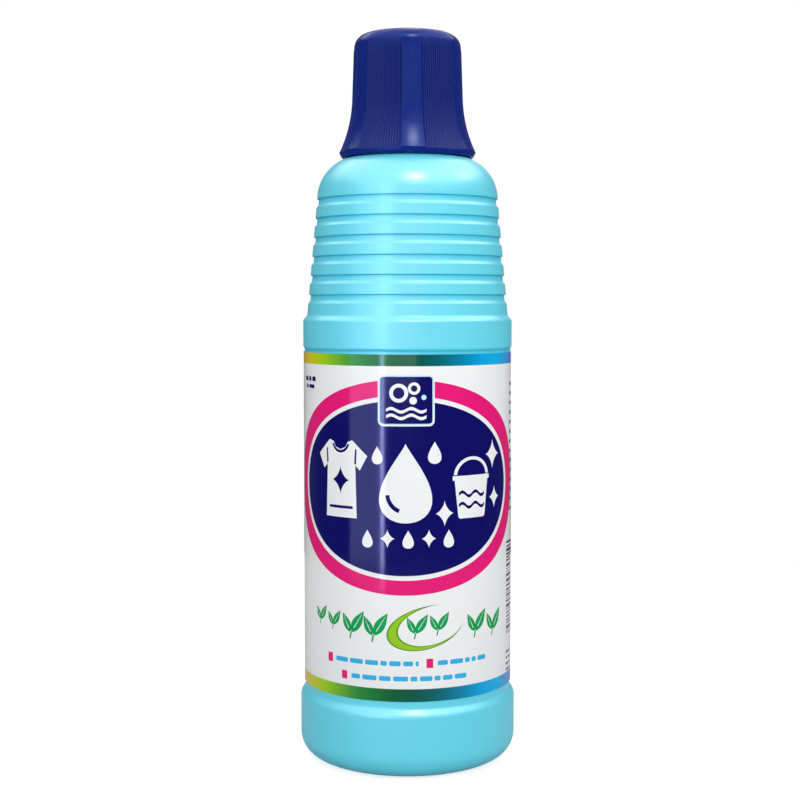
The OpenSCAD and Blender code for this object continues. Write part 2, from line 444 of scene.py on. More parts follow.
def outline_mesh(name, points, side=None, shaded_corners=()):
    """The outline as points, each with the side radius that flutes are cut into, and how much
    painted shade it takes for lying near a crease."""
    mesh = bpy.data.meshes.new(name)
    mesh.from_pydata([(p[0] * MM, 0, p[1] * MM) for p in points], [], [])
    sides = mesh.attributes.new("side", "FLOAT", "POINT")
    sides.data.foreach_set("value", [(side(p) if side else NO_SIDE) * MM for p in points])
    near = [min([math.dist(p[:2], c) for c in shaded_corners], default=math.inf) for p in points]
    shade_share = [max(0, 1 - max(gap - CREASE_SHADE_CORE, 0) / CREASE_SHADE_FADE) for gap in near]
    mesh.attributes.new("crease_shade", "FLOAT", "POINT").data.foreach_set("value", shade_share)
    return mesh


def land_r(z):
    """The radius of the shoulder's lands at a height."""
    return UPPER_R - SHOULDER_IN - SHOULDER_TAPER * (z - SHOULDER_Z)


def inner_r(z):
    """The radius inside the wall of the shoulder."""
    return land_r(z) - GROOVE_DEPTH - WALL


def groove(z):
    """One groove from its lower edge up, with a long lower slope and a sharp step over it."""
    return [
        (land_r(z), z, 0.3),
        (land_r(z + GROOVE_RAMP) - GROOVE_DEPTH, z + GROOVE_RAMP, 0.3),
        (land_r(z + GROOVE_H) - GROOVE_DEPTH, z + GROOVE_H - GROOVE_LIP, 0.15),
        (land_r(z + GROOVE_H), z + GROOVE_H, 0.25),
    ]


def dome(inset, count):
    """The curve from the last land in to the shelf round the neck, inset by a wall."""
    axis_r = land_r(DOME_Z) - DOME_R
    radius = DOME_R - inset
    end = math.asin((SHELF_Z - inset - DOME_Z) / radius)
    return [
        (axis_r + radius * cos(end * i / count), DOME_Z + radius * sin(end * i / count), 0)
        for i in range(1, count + 1)
    ]


def bottle_outline():
    """The outside from the middle of the underside up to the mouth, and the inside back down."""
    outside = [
        (0, PUSH_UP, 0),
        (FOOT_R * PUSH_SHARE, PUSH_UP, PUSH_BEND),
        (FOOT_R, 0, 1.5),
        (COLLAR_R, 0, CORNER_R),
        (COLLAR_R, COLLAR_H, 2.4),
        (PANEL_R, PANEL_Z, 1),
        (PANEL_R, UPPER_Z, 0.5),
        (UPPER_R, UPPER_Z + UPPER_SLOPE, 0.5),
        (UPPER_R, UPPER_Z + UPPER_H, 1),
        (land_r(SHOULDER_Z), SHOULDER_Z, 0.6),
    ]
    for i in range(GROOVES):
        outside += groove(GROOVE_Z + i * GROOVE_PITCH)
    outside += dome(0, 24)
    outside += [
        (NECK_R, SHELF_Z, 1.2),
        (NECK_R, BEAD_Z - BEAD_H - BEAD_RAMP, 0),
        (NECK_R + BEAD_OUT, BEAD_Z - BEAD_H, 0.4),
        (NECK_R + BEAD_OUT, BEAD_Z, 0.4),
        (NECK_R, BEAD_Z + 0.3, 0.3),
        (NECK_R, MOUTH_Z, 0.5),
    ]
    inside = [(BORE_R, MOUTH_Z, 0.4), (BORE_R, SHELF_Z - WALL, 1.5)]
    curve = [p for p in dome(WALL, 10) if BORE_R + 2.5 < p[0] < inner_r(DOME_Z) - 0.2]
    inside += curve[::-1]
    inside += [
        (inner_r(DOME_Z), DOME_Z + 3, 0),
        (inner_r(SHOULDER_Z), SHOULDER_Z, 3),
        (PANEL_R - WALL, UPPER_Z, 3),
        (PANEL_R - WALL, PANEL_Z, 3),
        (COLLAR_R - WALL, COLLAR_H, 3),
        (COLLAR_R - WALL, WALL, CORNER_R - WALL),
        (FOOT_R - WALL / 2, WALL, 1.5),
        ((FOOT_R - WALL / 2) * PUSH_SHARE, PUSH_UP + WALL, PUSH_BEND),
        (0, PUSH_UP + WALL, 0),
    ]
    return rounded(outside + inside)


def bottle_shaded_corners():
    """The inner corners under each land, over the label and round the neck, where painted shade is
    laid.
    """
    tops = [GROOVE_Z + i * GROOVE_PITCH + GROOVE_H - GROOVE_LIP for i in range(GROOVES)]
    corners = [(land_r(z) - GROOVE_DEPTH, z) for z in tops]
    return [*corners, (PANEL_R, UPPER_Z), (NECK_R, SHELF_Z)]


def flare(z):
    """How far the skirt stands out at a height above the rim."""
    drop = max(FLARE_Z - z, 0)
    return FLARE_R - math.sqrt(FLARE_R**2 - drop**2)


def side_r(z):
    """The radius of the cap's side over the flutes."""
    return CAP_BORE_R + CAP_WALL + CAP_TAPER * (CAP_H - z) + flare(z)


def cap_outline():
    """The cap from the middle of its top out, down the grip, round the rim and up inside."""
    middle = [(r, CAP_H - depth, bend) for r, depth, bend in DIMPLE]
    turns = [pi / 2 * i / 12 for i in range(13)]
    top = [
        (side_r(CAP_H) - TOP_R * (1 - sin(t)), CAP_H - TOP_R * (1 - cos(t)), 0) for t in turns
    ]
    low = [(side_r(z), z, 0) for z in np.linspace(CAP_H - TOP_R, RIM_H, 27)[1:]]
    rim = [
        (side_r(RIM_H) - 0.02, RIM_H - 0.06, 0),
        (side_r(RIM_H) - RIM_IN, 0.4, 0.3),
        (side_r(RIM_H) - RIM_IN - 0.4, 0, 0.2),
        (CAP_BORE_R + flare(0), 0, 0.2),
    ]
    skirt = [(CAP_BORE_R + flare(z), z, 0) for z in np.linspace(0.6, FLARE_Z, 15)]
    inside = [(CAP_BORE_R, CAP_H - PLATE_T, 0.4), (0, CAP_H - PLATE_T, 0)]
    return rounded(middle + top + low + rim + skirt + inside, fine=26)


def flute_side(point):
    """The radius that the flutes are cut into. It runs on up through the round corner."""
    z = point[1]
    outside = point[0] > side_r(CAP_H) - TOP_R - 0.01 and z >= RIM_H - 1e-3
    return side_r(z) if outside else NO_SIDE


# ---------------------------------------------------------------- colours
def ink(r, g, b):
    """A screen colour as the linear value that materials take."""
    return tuple(
        c / 255 / 12.92 if c / 255 <= 0.04045 else ((c / 255 + 0.055) / 1.055) ** 2.4
        for c in (r, g, b)
    )


WHITE = ink(236, 238, 239)
NAVY = ink(8, 8, 98)
MAGENTA = ink(228, 22, 118)
GREEN = ink(0, 158, 82)
AQUA = ink(46, 176, 230)
LIME = ink(146, 200, 30)
DEEP_LIME = ink(84, 150, 30)
FRAME_BLUE = ink(186, 228, 244)
BAR = ink(62, 52, 100)
FINE = ink(74, 84, 128)

# places round the label, in mm from the middle of the front, and the colour there
STRIPE = [
    (-104, (238, 110, 60)),
    (-80, (236, 140, 45)),
    (-56, (230, 165, 45)),
    (-44, (222, 190, 45)),
    (-36.5, (200, 202, 30)),
    (-30, (158, 204, 20)),
    (-22.9, (108, 175, 45)),
    (-16.4, (45, 138, 58)),
    (-4.5, (0, 94, 50)),
    (2.3, (0, 86, 72)),
    (9.2, (0, 98, 105)),
    (16.4, (0, 124, 160)),
    (24.7, (0, 160, 220)),
    (33, (0, 174, 230)),
    (40, (60, 150, 222)),
    (47, (96, 112, 200)),
    (66, (150, 64, 166)),
    (86, (214, 48, 128)),
    (104, (236, 96, 70)),
]


def stripe_ink(s, _):
    """The stripe's colour, running round the bottle from gold through green and blue to rose."""
    for (a, low), (b, high) in zip(STRIPE, STRIPE[1:], strict=False):
        if s <= b:
            t = min(max((s - a) / (b - a), 0), 1)
            return ink(*[x + (y - x) * t for x, y in zip(low, high, strict=True)])
    return ink(*STRIPE[-1][1])


# ---------------------------------------------------------------- shapes of the flat print, in mm
def put(points, at, scale=1.0, turn=0.0):
    """Sizes, turns and moves a shape. The turn is in degrees anticlockwise."""
    wide, tall = scale if isinstance(scale, tuple) else (scale, scale)
    c, n = cos(math.radians(turn)), sin(math.radians(turn))
    moved = []
    for x, z in points:
        x, z = x * wide, z * tall
        moved.append((at[0] + x * c - z * n, at[1] + x * n + z * c))
    return moved


def oval(cx, cz, a, b, count):
    """An oval by its centre and its half width and height."""
    turns = [tau * i / count for i in range(count)]
    return [(cx + a * cos(t), cz + b * sin(t)) for t in turns]


def block(cx, cz, wide, tall, r=0.0):
    """A rectangle by its centre, with round corners where r is given."""
    if r <= 0:
        corners = ((1, -1), (1, 1), (-1, 1), (-1, -1))
        return [(cx + sx * wide / 2, cz + sz * tall / 2) for sx, sz in corners]
    loop = []
    for k, (sx, sz) in enumerate(((1, 1), (-1, 1), (-1, -1), (1, -1))):
        ox, oz = cx + sx * (wide / 2 - r), cz + sz * (tall / 2 - r)
        turns = [pi / 2 * (k + i / 4) for i in range(5)]
        loop += [(ox + r * cos(t), oz + r * sin(t)) for t in turns]
    return loop


def swoosh(at, a, b, fat, begin, end, turn, rim, count=44):
    """Part of an oval ring that swells from its two pointed ends. A rim narrows it on both
    sides."""
    outer, back = [], []
    for i in range(count + 1):
        u = i / count
        t = math.radians(begin + (end - begin) * u)
        full = fat * sin(pi * u**0.85) ** 1.5
        thin = min(rim, full / 2)
        outer.append(((1 - thin) * a * cos(t), (1 - thin) * b * sin(t)))
        back.append(((1 - full + thin) * a * cos(t), (1 - full + thin) * b * sin(t)))
    return put(outer + back[-2:0:-1], at, turn=turn)


def bent_bar(cx, cz, radius, width, begin, end, count=16):
    """An arc of a ring."""
    angles = [math.radians(begin + (end - begin) * i / count) for i in range(count + 1)]
    rim, back = (
        [(cx + r * cos(t), cz + r * sin(t)) for t in angles]
        for r in (radius + width / 2, radius - width / 2)
    )
    return rim + back[::-1]


def drop(count=28):
    """A water drop one unit wide and about one and a half tall."""
    loop = []
    for i in range(count):
        t = tau * i / count
        loop.append((0.5 * sin(t) * sin(t / 2) ** 1.4, 0.72 * cos(t)))
    return loop


def sparkle(count=7):
    """A four-pointed star with hollow sides."""
    loop = []
    for i in range(4 * count):
        t = tau * i / (4 * count)
        c, n = cos(t), sin(t)
        loop.append((math.copysign(abs(c) ** 3, c), math.copysign(abs(n) ** 3, n)))
    return loop


def leaf(count=12):
    """A leaf one unit long, its tip to the right."""
    top = [(i / count, 0.2 * sin(pi * (i / count) ** 0.8)) for i in range(count + 1)]
    return top + [(x, -z) for x, z in top[-2:0:-1]]


def ripple(left, low, wide, swing, fat, count):
    """A band of an even height that runs through two waves."""
    line = [
        (left + wide * i / count, low + swing * sin(tau * i / (count / 2)))
        for i in range(count + 1)
    ]
    return line + [(x, z + fat) for x, z in line[::-1]]


BUCKET = [
    (-5.4, 3.6),
    (5.4, 3.6),
    (5.4, 2.2),
    (4.9, 2.2),
    (3.9, -9.4),
    (3.5, -9.9),
    (-3.5, -9.9),
    (-3.9, -9.4),
    (-4.9, 2.2),
    (-5.4, 2.2),
]

SHIRT = [
    (2.9, 10.4),
    (4.6, 10.9),
    (9.9, 6.6),
    (7.3, 2.5),
    (5.7, 3.9),
    (6.2, -11.0),
    (-6.2, -11.0),
    (-5.7, 3.9),
    (-7.3, 2.5),
    (-9.9, 6.6),
    (-4.6, 10.9),
    (-2.9, 10.4),
    (-2.0, 8.9),
    (0, 8.2),
    (2.0, 8.9),
]


def bars(left, right, z, tall, colour, seed):
    """A line of plain bars, long and short in turn, the same for the same seed."""
    shortest, spread, gap, least = 1.5, 3.4, 0.75, 0.9
    line, at, k = [], left, seed
    while at < right - least:
        k = (k * 37 + 11) % 101
        wide = min(shortest + spread * (k / 101), right - at)
        line.append((colour, [block(at + wide / 2, z, wide, tall, min(tall, wide) * 0.28)]))
        at += wide + gap
    return line


def sprig(x, z, size):
    """Two leaves that rise from one short stem, their veins left white."""
    stem = [(-0.03, -0.2), (0.03, -0.2), (0.035, 0.06), (-0.035, 0.06)]
    vein = [(0.2, -0.016), (0.84, -0.005), (0.84, 0.005), (0.2, 0.016)]
    parts = [(GREEN, [put(stem, (x, z), size, -12)])]
    for turn, part in ((116, 0.8), (58, 1.0)):
        foot = (x + 0.05 * size * cos(math.radians(turn)), z + 0.05 * size)
        parts.append((GREEN, [put(leaf(), foot, size * part, turn)]))
        parts.append((WHITE, [put(vein, foot, size * part, turn)]))
    return parts


def lay(art, colour, *loops):
    """Lays one shape over what is printed already. A loop inside another leaves a hole."""
    art.append((colour, loops))


def front_print():
    """The front of the label: oval, plaque, pictograms, leaves and lines."""
    art = []
    lay(art, MAGENTA, oval(-1, 90.9, 47, 33.2, 120), oval(-1, 90.7, 40.6, 28.4, 110))
    lay(art, NAVY, oval(-1, 90.7, 39.15, 27.0, 110))
    lay(art, WHITE, block(-0.4, 117.65, 17.5, 15.8, 1.7))
    lay(art, FRAME_BLUE, block(-0.4, 117.7, 16.9, 15.2, 1.4))
    lay(art, NAVY, block(-0.4, 117.7, 16.1, 14.4, 1.0))
    # bubbles over two waves
    lay(art, WHITE, oval(-2.7, 119.9, 2.9, 2.9, 36), oval(-2.7, 119.9, 1.75, 1.75, 30))
    lay(art, WHITE, oval(2.0, 121.3, 1.9, 1.9, 28), oval(2.0, 121.3, 1.0, 1.0, 20))
    lay(art, WHITE, oval(1.7, 117.6, 1.15, 1.15, 20))
    lay(art, FRAME_BLUE, oval(5.0, 118.6, 0.8, 0.8, 16))
    for low in (112.2, 114.2):
        lay(art, WHITE, ripple(-6.6, low, 12.4, 0.55, 0.95, 30))
    # the three large pictograms
    shirt_at, shirt_size = (-22.3, 93.1), (0.98, 1.1)
    lay(art, WHITE, put(SHIRT, shirt_at, shirt_size))
    lay(art, NAVY, put(bent_bar(0, 10.9, 3.3, 0.75, 200, 340), shirt_at, shirt_size))
    lay(art, NAVY, put(sparkle(), (-22.3, 92.6), (3.4, 4.4)))
    lay(art, NAVY, block(-22.3, 84.2, 9.4, 0.9, 0.3))
    for side in (-1, 1):
        seam = [(side * 6.0, 4.1), (side * 5.3, 4.3), (side * 5.6, 8.6), (side * 6.2, 8.2)]
        lay(art, NAVY, put(seam, shirt_at, shirt_size))
    lay(art, WHITE, put(drop(44), (-0.6, 92.2), (23.0, 17.0)))
    lay(art, NAVY, bent_bar(-0.6, 89.0, 5.6, 1.3, 184, 250))
    lay(art, WHITE, put(drop(24), (8.4, 101.6), (6.0, 4.8)))
    lay(art, WHITE, put(drop(24), (-9.4, 100.8), (4.8, 3.9)))
    bucket_at = (21.4, 90.6)
    lay(art, WHITE, put(BUCKET, bucket_at, (1.32, 0.98)))
    lay(art, WHITE, put(bent_bar(0, 3.0, 4.7, 0.85, 4, 176, 24), bucket_at, (1.32, 1.15)))
    for low in (84.4, 87.9):
        lay(art, NAVY, ripple(bucket_at[0] - 5.0, low, 10.0, 0.7, 1.0, 24))
    lay(art, WHITE, put(sparkle(), (30.4, 100.2), (3.4, 4.6)))
    lay(art, WHITE, put(sparkle(), (31.4, 86.6), (2.6, 3.5)))
    lay(art, WHITE, put(sparkle(), (11.6, 82.8), (3.0, 4.0)))
    # the small row under them
    for i, x in enumerate((-12.6, -6.2, 0.2, 6.6, 13.0)):
        if i % 2:
            lay(art, WHITE, put(sparkle(), (x, 75.2), (2.3, 2.9)))
        else:
            lay(art, WHITE, put(drop(20), (x, 75.0), (4.9, 3.9)))
    # leaves and swoosh
    for x, z, size in (
        (-31.8, 47.4, 5.7),
        (-25.6, 46.6, 5.7),
        (-18.4, 45.0, 8.2),
        (-10.8, 44.6, 8.4),
        (2.4, 45.6, 7.0),
        (9.4, 46.4, 6.6),
        (22.6, 44.8, 8.0),
        (30.6, 44.2, 7.8),
    ):
        art += sprig(x, z, size)
    for colour, rim in ((DEEP_LIME, 0.0), (LIME, 0.045)):
        lay(art, colour, swoosh((5.8, 47.6), 12.6, 6.6, 0.3, 62, 346, 14, rim))
    # small lines with their markers
    lay(art, MAGENTA, block(-26.7, 36.6, 2.1, 2.9))
    art += bars(-24.2, 3.4, 36.6, 1.5, AQUA, 5)
    lay(art, MAGENTA, block(6.9, 36.6, 2.1, 2.9))
    art += bars(9.4, 27.5, 36.6, 1.5, AQUA, 23)
    lay(art, MAGENTA, block(-20.8, 31.9, 2.1, 2.6))
    art += bars(-18.2, 20.4, 31.9, 1.5, AQUA, 61)
    art += bars(-43.4, -34.6, 123.4, 1.5, NAVY, 9)
    art += bars(-42.2, -35.4, 121.0, 1.2, NAVY, 30)
    return art


def side_and_back_print():
    """The sides and back: a barred code, small lines in boxes, and a plain row of pictograms."""
    art, z, k = [], 71.0, 3
    while z > 41.0:
        k = (k * 29 + 7) % 97
        tall = (0.3, 0.5, 0.7, 1.05)[k % 4]
        lay(art, BAR, block(48.3, z - tall / 2, 15.2, tall))
        z -= tall + (0.4, 0.7, 0.5)[k % 3]
    for i in range(4):
        art += bars(40.5, 55.5, 35.2 - 1.9 * i, 0.8, FINE, 7 + i)
    for i in range(14):
        art += bars(44, 84, 121.5 - 3.1 * i, 1.15, FINE, 17 + 5 * i)
    lay(art, NAVY, block(-72, 121.0, 40, 7.0, 1.6))
    art += bars(-89, -55, 121.0, 2.0, WHITE, 41)
    for i in range(9):
        art += bars(-92, -52, 113.2 - 3.1 * i, 1.15, FINE, 13 + 7 * i)
    for i, shape in enumerate((drop(24), SHIRT, sparkle())):
        x = -86 + 14 * i
        lay(art, NAVY, block(x, 77.5, 11.4, 11.4, 1.8), block(x, 77.5, 10.0, 10.0, 1.3))
        scale = {0: (5.2, 5.0), 1: (0.36, 0.36), 2: (4.0, 4.0)}[i]
        lay(art, AQUA, put(shape, (x, 77.5), scale))
    lay(art, MAGENTA, block(-72, 52.5, 42, 28.0, 1.6), block(-72, 52.5, 41.0, 27.0, 1.2))
    for i in range(8):
        art += bars(-90.5, -53.5, 63.0 - 3.0 * i, 1.15, FINE, 19 + 9 * i)
    lay(art, LIME, block(81.5, 56.5, 33, 30.0, 1.4), block(81.5, 56.5, 32.2, 29.2, 1.0))
    for i in range(9):
        art += bars(67.5, 95.5, 68.5 - 3.0 * i, 1.1, FINE, 3 + 11 * i)
    return art + sprig(90.5, 33.4, 5.6) + sprig(83.5, 33.4, 5.6)


def stripes():
    """The two coloured stripes that close the label above and below."""
    whole = 2 * (HALF_ROUND + LAP)
    return [
        (stripe_ink, [block(0, LABEL_TOP - TOP_STRIPE_H / 2, whole + 2, TOP_STRIPE_H)]),
        (stripe_ink, [block(0, LABEL_LOW + LOW_STRIPE_H / 2, whole + 2, LOW_STRIPE_H)]),
    ]


def inside(loops, x, z):
    """Which points lie within the loops, by the even-odd rule."""
    hit = np.zeros(len(x), bool)
    for loop in loops:
        ring = np.array(loop)
        for (ax, az), (bx, bz) in zip(ring, np.roll(ring, -1, 0), strict=True):
            if az == bz:
                continue
            cross = (az > z) != (bz > z)
            hit ^= cross & (x < (bx - ax) * (z - az) / (bz - az) + ax)
    return hit


def printed_sheet():
    """The flat label as one mesh whose edges run along every printed shape, with a colour on
    each corner."""
    edge = HALF_ROUND + LAP
    art = front_print() + side_and_back_print() + stripes()
    points, lines = [], []

    def loop_in(loop, closed=True):
        """Adds a loop's points and sides, kept within the sheet."""
        first = len(points)
        for x, z in loop:
            kept = min(max(x, -edge), edge), min(max(z, LABEL_LOW), LABEL_TOP)
            points.append(Vector(kept))
        count = len(loop)
        sides = range(count if closed else count - 1)
        lines.extend((first + i, first + (i + 1) % count) for i in sides)

    loop_in(block(0, (LABEL_LOW + LABEL_TOP) / 2, 2 * edge, LABEL_TOP - LABEL_LOW))
    for i in range(1, SHEET_COLUMNS):
        s = -edge + 2 * edge * i / SHEET_COLUMNS
        loop_in([(s, LABEL_LOW), (s, LABEL_TOP)], closed=False)
    for _, loops in art:
        for loop in loops:
            loop_in(loop)
    made = delaunay_2d_cdt(points, lines, [], 0, 1e-5)
    spots = np.array([v[:] for v in made[0]])
    faces = np.array(made[2])
    middle = spots[faces].mean(1)
    owner = np.full(len(faces), -1)
    for number, (_, loops) in enumerate(art):
        ring = np.concatenate([np.array(loop) for loop in loops])
        low, high = ring.min(0), ring.max(0)
        near = np.flatnonzero(((middle > low) & (middle < high)).all(1))
        hit = inside(loops, middle[near, 0], middle[near, 1])
        owner[near[hit]] = number
    mesh = bpy.data.meshes.new("sheet")
    mesh.from_pydata([(x * MM, 0, z * MM) for x, z in spots], [], faces.tolist())
    colour = mesh.color_attributes.new("print", "FLOAT_COLOR", "CORNER")
    values = np.ones((len(faces), 3, 4))
    for i, face in enumerate(faces):
        tint = art[owner[i]][0] if owner[i] >= 0 else WHITE
        for k in range(3):
            values[i, k, :3] = tint(*spots[face[k]]) if callable(tint) else tint
    colour.data.foreach_set("color", values.ravel())
    flat = mesh.uv_layers.new(name="OFBake")
    share = (spots[faces.ravel()] - (-edge, LABEL_LOW)) / (2 * edge, LABEL_TOP - LABEL_LOW)
    flat.data.foreach_set("uv", share.ravel())
    return mesh


# ---------------------------------------------------------------- materials
EFFECT = [("Colour", COLOUR), ("Roughness", FLOAT), ("Height", FLOAT)]


def noise(tree, where, scale, detail):
    """Fractal noise from 0 to 1."""
    values = {"Vector": where, "Scale": scale, "Detail": detail}
    return add(tree, "ShaderNodeTexNoise", values).outputs[0]


def link_effect(tree, out, colour, roughness, height):
    """Links the three results of an effect group."""
    for name, value in (("Colour", colour), ("Roughness", roughness), ("Height", height)):
        tree.links.new(value, out.inputs[name])


def swing(tree, value, amount):
    """A noise value as a swing of the amount about nought."""
    return calc(tree, "MULTIPLY", calc(tree, "SUBTRACT", value, 0.5), amount)


def scaled(tree, colour, level):
    """A colour made darker or lighter by a factor."""
    return add(tree, "ShaderNodeVectorMath", {0: colour, 3: level}, operation="SCALE").outputs[0]


def moulded_plastic():
    """Slow colour drift, fine grain and uneven gloss of moulded plastic, with painted shade in
    its creases and flute valleys.
    """
    tree, given, out = group(
        "moulded plastic",
        "ShaderNodeTree",
        [
            ("Colour", COLOUR, (0.5, 0.5, 0.5, 1)),
            ("Drift", FLOAT, 0.04),
            ("Speckle", FLOAT, 0.03),
            ("Grain scale", FLOAT, 2600.0),
            ("Gloss low", FLOAT, 0.3),
            ("Gloss high", FLOAT, 0.4),
            ("Seam", FLOAT, 0.0),
            ("Shaded crease colour", COLOUR, (0.5, 0.5, 0.5, 1)),
            ("Shaded crease", FLOAT, 0.0),
            ("Flute matt", FLOAT, 0.0),
        ],
        EFFECT,
    )
    where = add(tree, "ShaderNodeTexCoord").outputs["Object"]
    slow = noise(tree, where, 38.0, 3.0)
    mid = noise(tree, where, 420.0, 4.0)
    fine = noise(tree, where, given["Grain scale"], 2.0)
    drift = swing(tree, slow, given["Drift"])
    speckle = swing(tree, fine, given["Speckle"])
    level = calc(tree, "ADD", calc(tree, "ADD", drift, speckle), 1.0)
    # painted shade: the crease colour laid over the plastic's own colour in creases and flute
    # valleys
    shade_share = add(tree, "ShaderNodeAttribute", attribute_name="crease_shade").outputs["Fac"]
    shade_share = calc(tree, "MULTIPLY", shade_share, given["Shaded crease"])
    colours = {0: shade_share, 6: given["Colour"], 7: given["Shaded crease colour"]}
    ground = add(tree, "ShaderNodeMix", colours, data_type="RGBA").outputs[2]
    gloss = eased(tree, mid, 0.3, 0.7, given["Gloss low"], given["Gloss high"])
    fluted = add(tree, "ShaderNodeAttribute", attribute_name="fluted").outputs["Fac"]
    gloss = calc(tree, "ADD", gloss, calc(tree, "MULTIPLY", fluted, given["Flute matt"]))
    across = calc(tree, "ABSOLUTE", add(tree, "ShaderNodeSeparateXYZ", {0: where}).outputs[1])
    seam = (0.06 * MM, 0.22 * MM, given["Seam"], 0.0)
    parting = eased(tree, across, *seam, interpolation_type="SMOOTHSTEP")
    height = calc(tree, "ADD", calc(tree, "ADD", fine, calc(tree, "MULTIPLY", mid, 0.8)), parting)
    link_effect(tree, out, scaled(tree, ground, level), gloss, height)
    return tree


def film_print():
    """The film's own unevenness: a slight mottle in the ink and slow waves in the surface."""
    tree, given, out = group(
        "film print",
        "ShaderNodeTree",
        [
            ("Colour", COLOUR, (0.8, 0.8, 0.8, 1)),
            ("Mottle", FLOAT, 0.03),
            ("Wave scale", FLOAT, 90.0),
        ],
        EFFECT,
    )
    where = add(tree, "ShaderNodeTexCoord").outputs["Object"]
    mottle = swing(tree, noise(tree, where, 900.0, 3.0), given["Mottle"])
    tinted = scaled(tree, given["Colour"], calc(tree, "ADD", mottle, 1.0))
    wave = noise(tree, where, given["Wave scale"], 1.0)
    haze = noise(tree, where, 240.0, 3.0)
    link_effect(tree, out, tinted, eased(tree, haze, 0.3, 0.7, 0.1, 0.15), wave)
    return tree


def material_of(name, effect, values, bump, **constants):
    """A Principled material fed by one effect group, its bump in mm. Constants sit on the
    shader's own sockets."""
    material = bpy.data.materials.new(name)
    material.use_nodes = True
    tree = material.node_tree
    shader = tree.nodes["Principled BSDF"]
    fed = add(tree, "ShaderNodeGroup", values, node_tree=effect)
    raised = {"Height": fed.outputs["Height"], "Distance": bump * MM, "Strength": 1.0}
    tree.links.new(fed.outputs["Colour"], shader.inputs["Base Color"])
    tree.links.new(fed.outputs["Roughness"], shader.inputs["Roughness"])
    tree.links.new(add(tree, "ShaderNodeBump", raised).outputs[0], shader.inputs["Normal"])
    for key, value in constants.items():
        shader.inputs[key.replace("_", " ")].default_value = value
    return material, tree, fed


plastic = moulded_plastic()
bottle_plastic, _, _ = material_of(
    "sky blue polyethylene",
    plastic,
    {
        "Colour": (*ink(97, 213, 234), 1),
        "Drift": 0.05,
        "Speckle": 0.03,
        "Gloss low": 0.31,
        "Gloss high": 0.37,
        "Seam": 6.0,
        # painted shade under each land, over the label and round the neck
        "Shaded crease colour": (*ink(12, 182, 216), 1),
        "Shaded crease": 0.95,
    },
    0.012,
    IOR=1.52,
)
cap_plastic, _, _ = material_of(
    "deep blue polypropylene",
    plastic,
    {
        "Colour": (*ink(10, 34, 121), 1),
        "Drift": 0.08,
        "Speckle": 0.06,
        "Gloss low": 0.22,
        "Gloss high": 0.3,
        # painted shade in the flutes' valleys
        "Shaded crease colour": (*ink(3, 13, 90), 1),
        "Shaded crease": 0.95,
        "Flute matt": 0.2,
    },
    0.003,
    IOR=1.49,
    Specular_IOR_Level=0.085,
    Specular_Tint=(0.7, 0.85, 1, 1),
)
liner_foam, _, _ = material_of(
    "white sealing foam",
    plastic,
    {
        "Colour": (*ink(232, 232, 226), 1),
        "Drift": 0.03,
        "Speckle": 0.1,
        "Grain scale": 1800.0,
        "Gloss low": 0.6,
        "Gloss high": 0.8,
    },
    0.05,
    IOR=1.45,
)
label_film, tree, fed = material_of(
    "glossy printed film",
    film_print(),
    {"Mottle": 0.03, "Wave scale": 70.0},
    0.02,
    IOR=1.5,
    Specular_IOR_Level=0.22,
)
printed = add(tree, "ShaderNodeAttribute", attribute_name="print").outputs["Color"]
tree.links.new(printed, fed.inputs["Colour"])

# ---------------------------------------------------------------- the bottle
turned, threaded, film = turned_form(), thread_form(), wrapped_film()


def thread_mesh(name, material, root, crest, half_root, half_crest, low, turns):
    """Two starts of a trapezoid ridge on the neck or in the cap, sunk into the wall."""
    foot = root + math.copysign(THREAD_SINK, root - crest)
    loop = [
        (foot, low - half_root),
        (root, low - half_root),
        (crest, low - half_crest),
        (crest, low + half_crest),
        (root, low + half_root),
        (foot, low + half_root),
        (foot, low - half_root),
    ]
    loop = [Vector(p) for p in loop]
    values = {
        "Steps": 110,
        "Sweep": turns * tau,
        "Lead": LEAD * MM,
        "Ends": 0.09,
        "Root": foot * MM,
    }
    return [
        grown(
            f"{name}_{k}",
            outline_mesh(name, loop),
            threaded,
            {**values, "Start": THREAD_START + pi * k},
            material,
        )
        for k in range(2)
    ]


def pinch_seam():
    """The bar that the mould pinches across the underside, sunk into the wall over it."""
    half, flat, end = WALL / 2, WALL / 2 - PINCH_BEVEL, FOOT_R - PINCH_SHORT
    columns = np.linspace(-end, end, PINCH_COLUMNS)

    def heights(lift, rim):
        """The underside's own bend, lifted, at each column."""
        bend = (FOOT_R * PUSH_SHARE, PUSH_UP + lift, PUSH_BEND)
        line = rounded([(0, PUSH_UP + lift, 0), bend, (end, rim, 0)])
        return np.interp(abs(columns), [p.x for p in line], [p.y for p in line])

    low, high = heights(-PINCH_H, PINCH_H), heights(half, PINCH_H + half)
    points = []
    for x, z, top in zip(columns, low, high, strict=True):
        edge = z + PINCH_BEVEL
        ring = [(-half, top), (-half, edge), (-flat, z), (flat, z), (half, edge), (half, top)]
        points += [(x * MM, y * MM, h * MM) for y, h in ring]
    faces = [tuple(range(6)), tuple(range(len(points) - 6, len(points)))]
    for i in range(0, len(points) - 6, 6):
        faces += [(i + k, i + (k + 1) % 6, i + 6 + (k + 1) % 6, i + 6 + k) for k in range(6)]
    mesh = bpy.data.meshes.new("pinch_seam")
    mesh.from_pydata(points, [], faces)
    # no painted shade on the seam
    mesh.attributes.new("crease_shade", "FLOAT", "POINT")
    return mesh


bottle_body = grown(
    "bottle",
    outline_mesh("bottle_line", bottle_outline(), shaded_corners=bottle_shaded_corners()),
    turned,
    {"Steps": 192},
    bottle_plastic,
)
neck_thread = thread_mesh(
    "neck_thread",
    bottle_plastic,
    root=NECK_R,
    crest=NECK_CREST_R,
    half_root=0.8,
    half_crest=0.42,
    low=THREAD_LOW,
    turns=1.15,
)
bottle = piece_of("bottle_moulding", [bottle_body, *neck_thread, pinch_seam()], bottle_plastic)

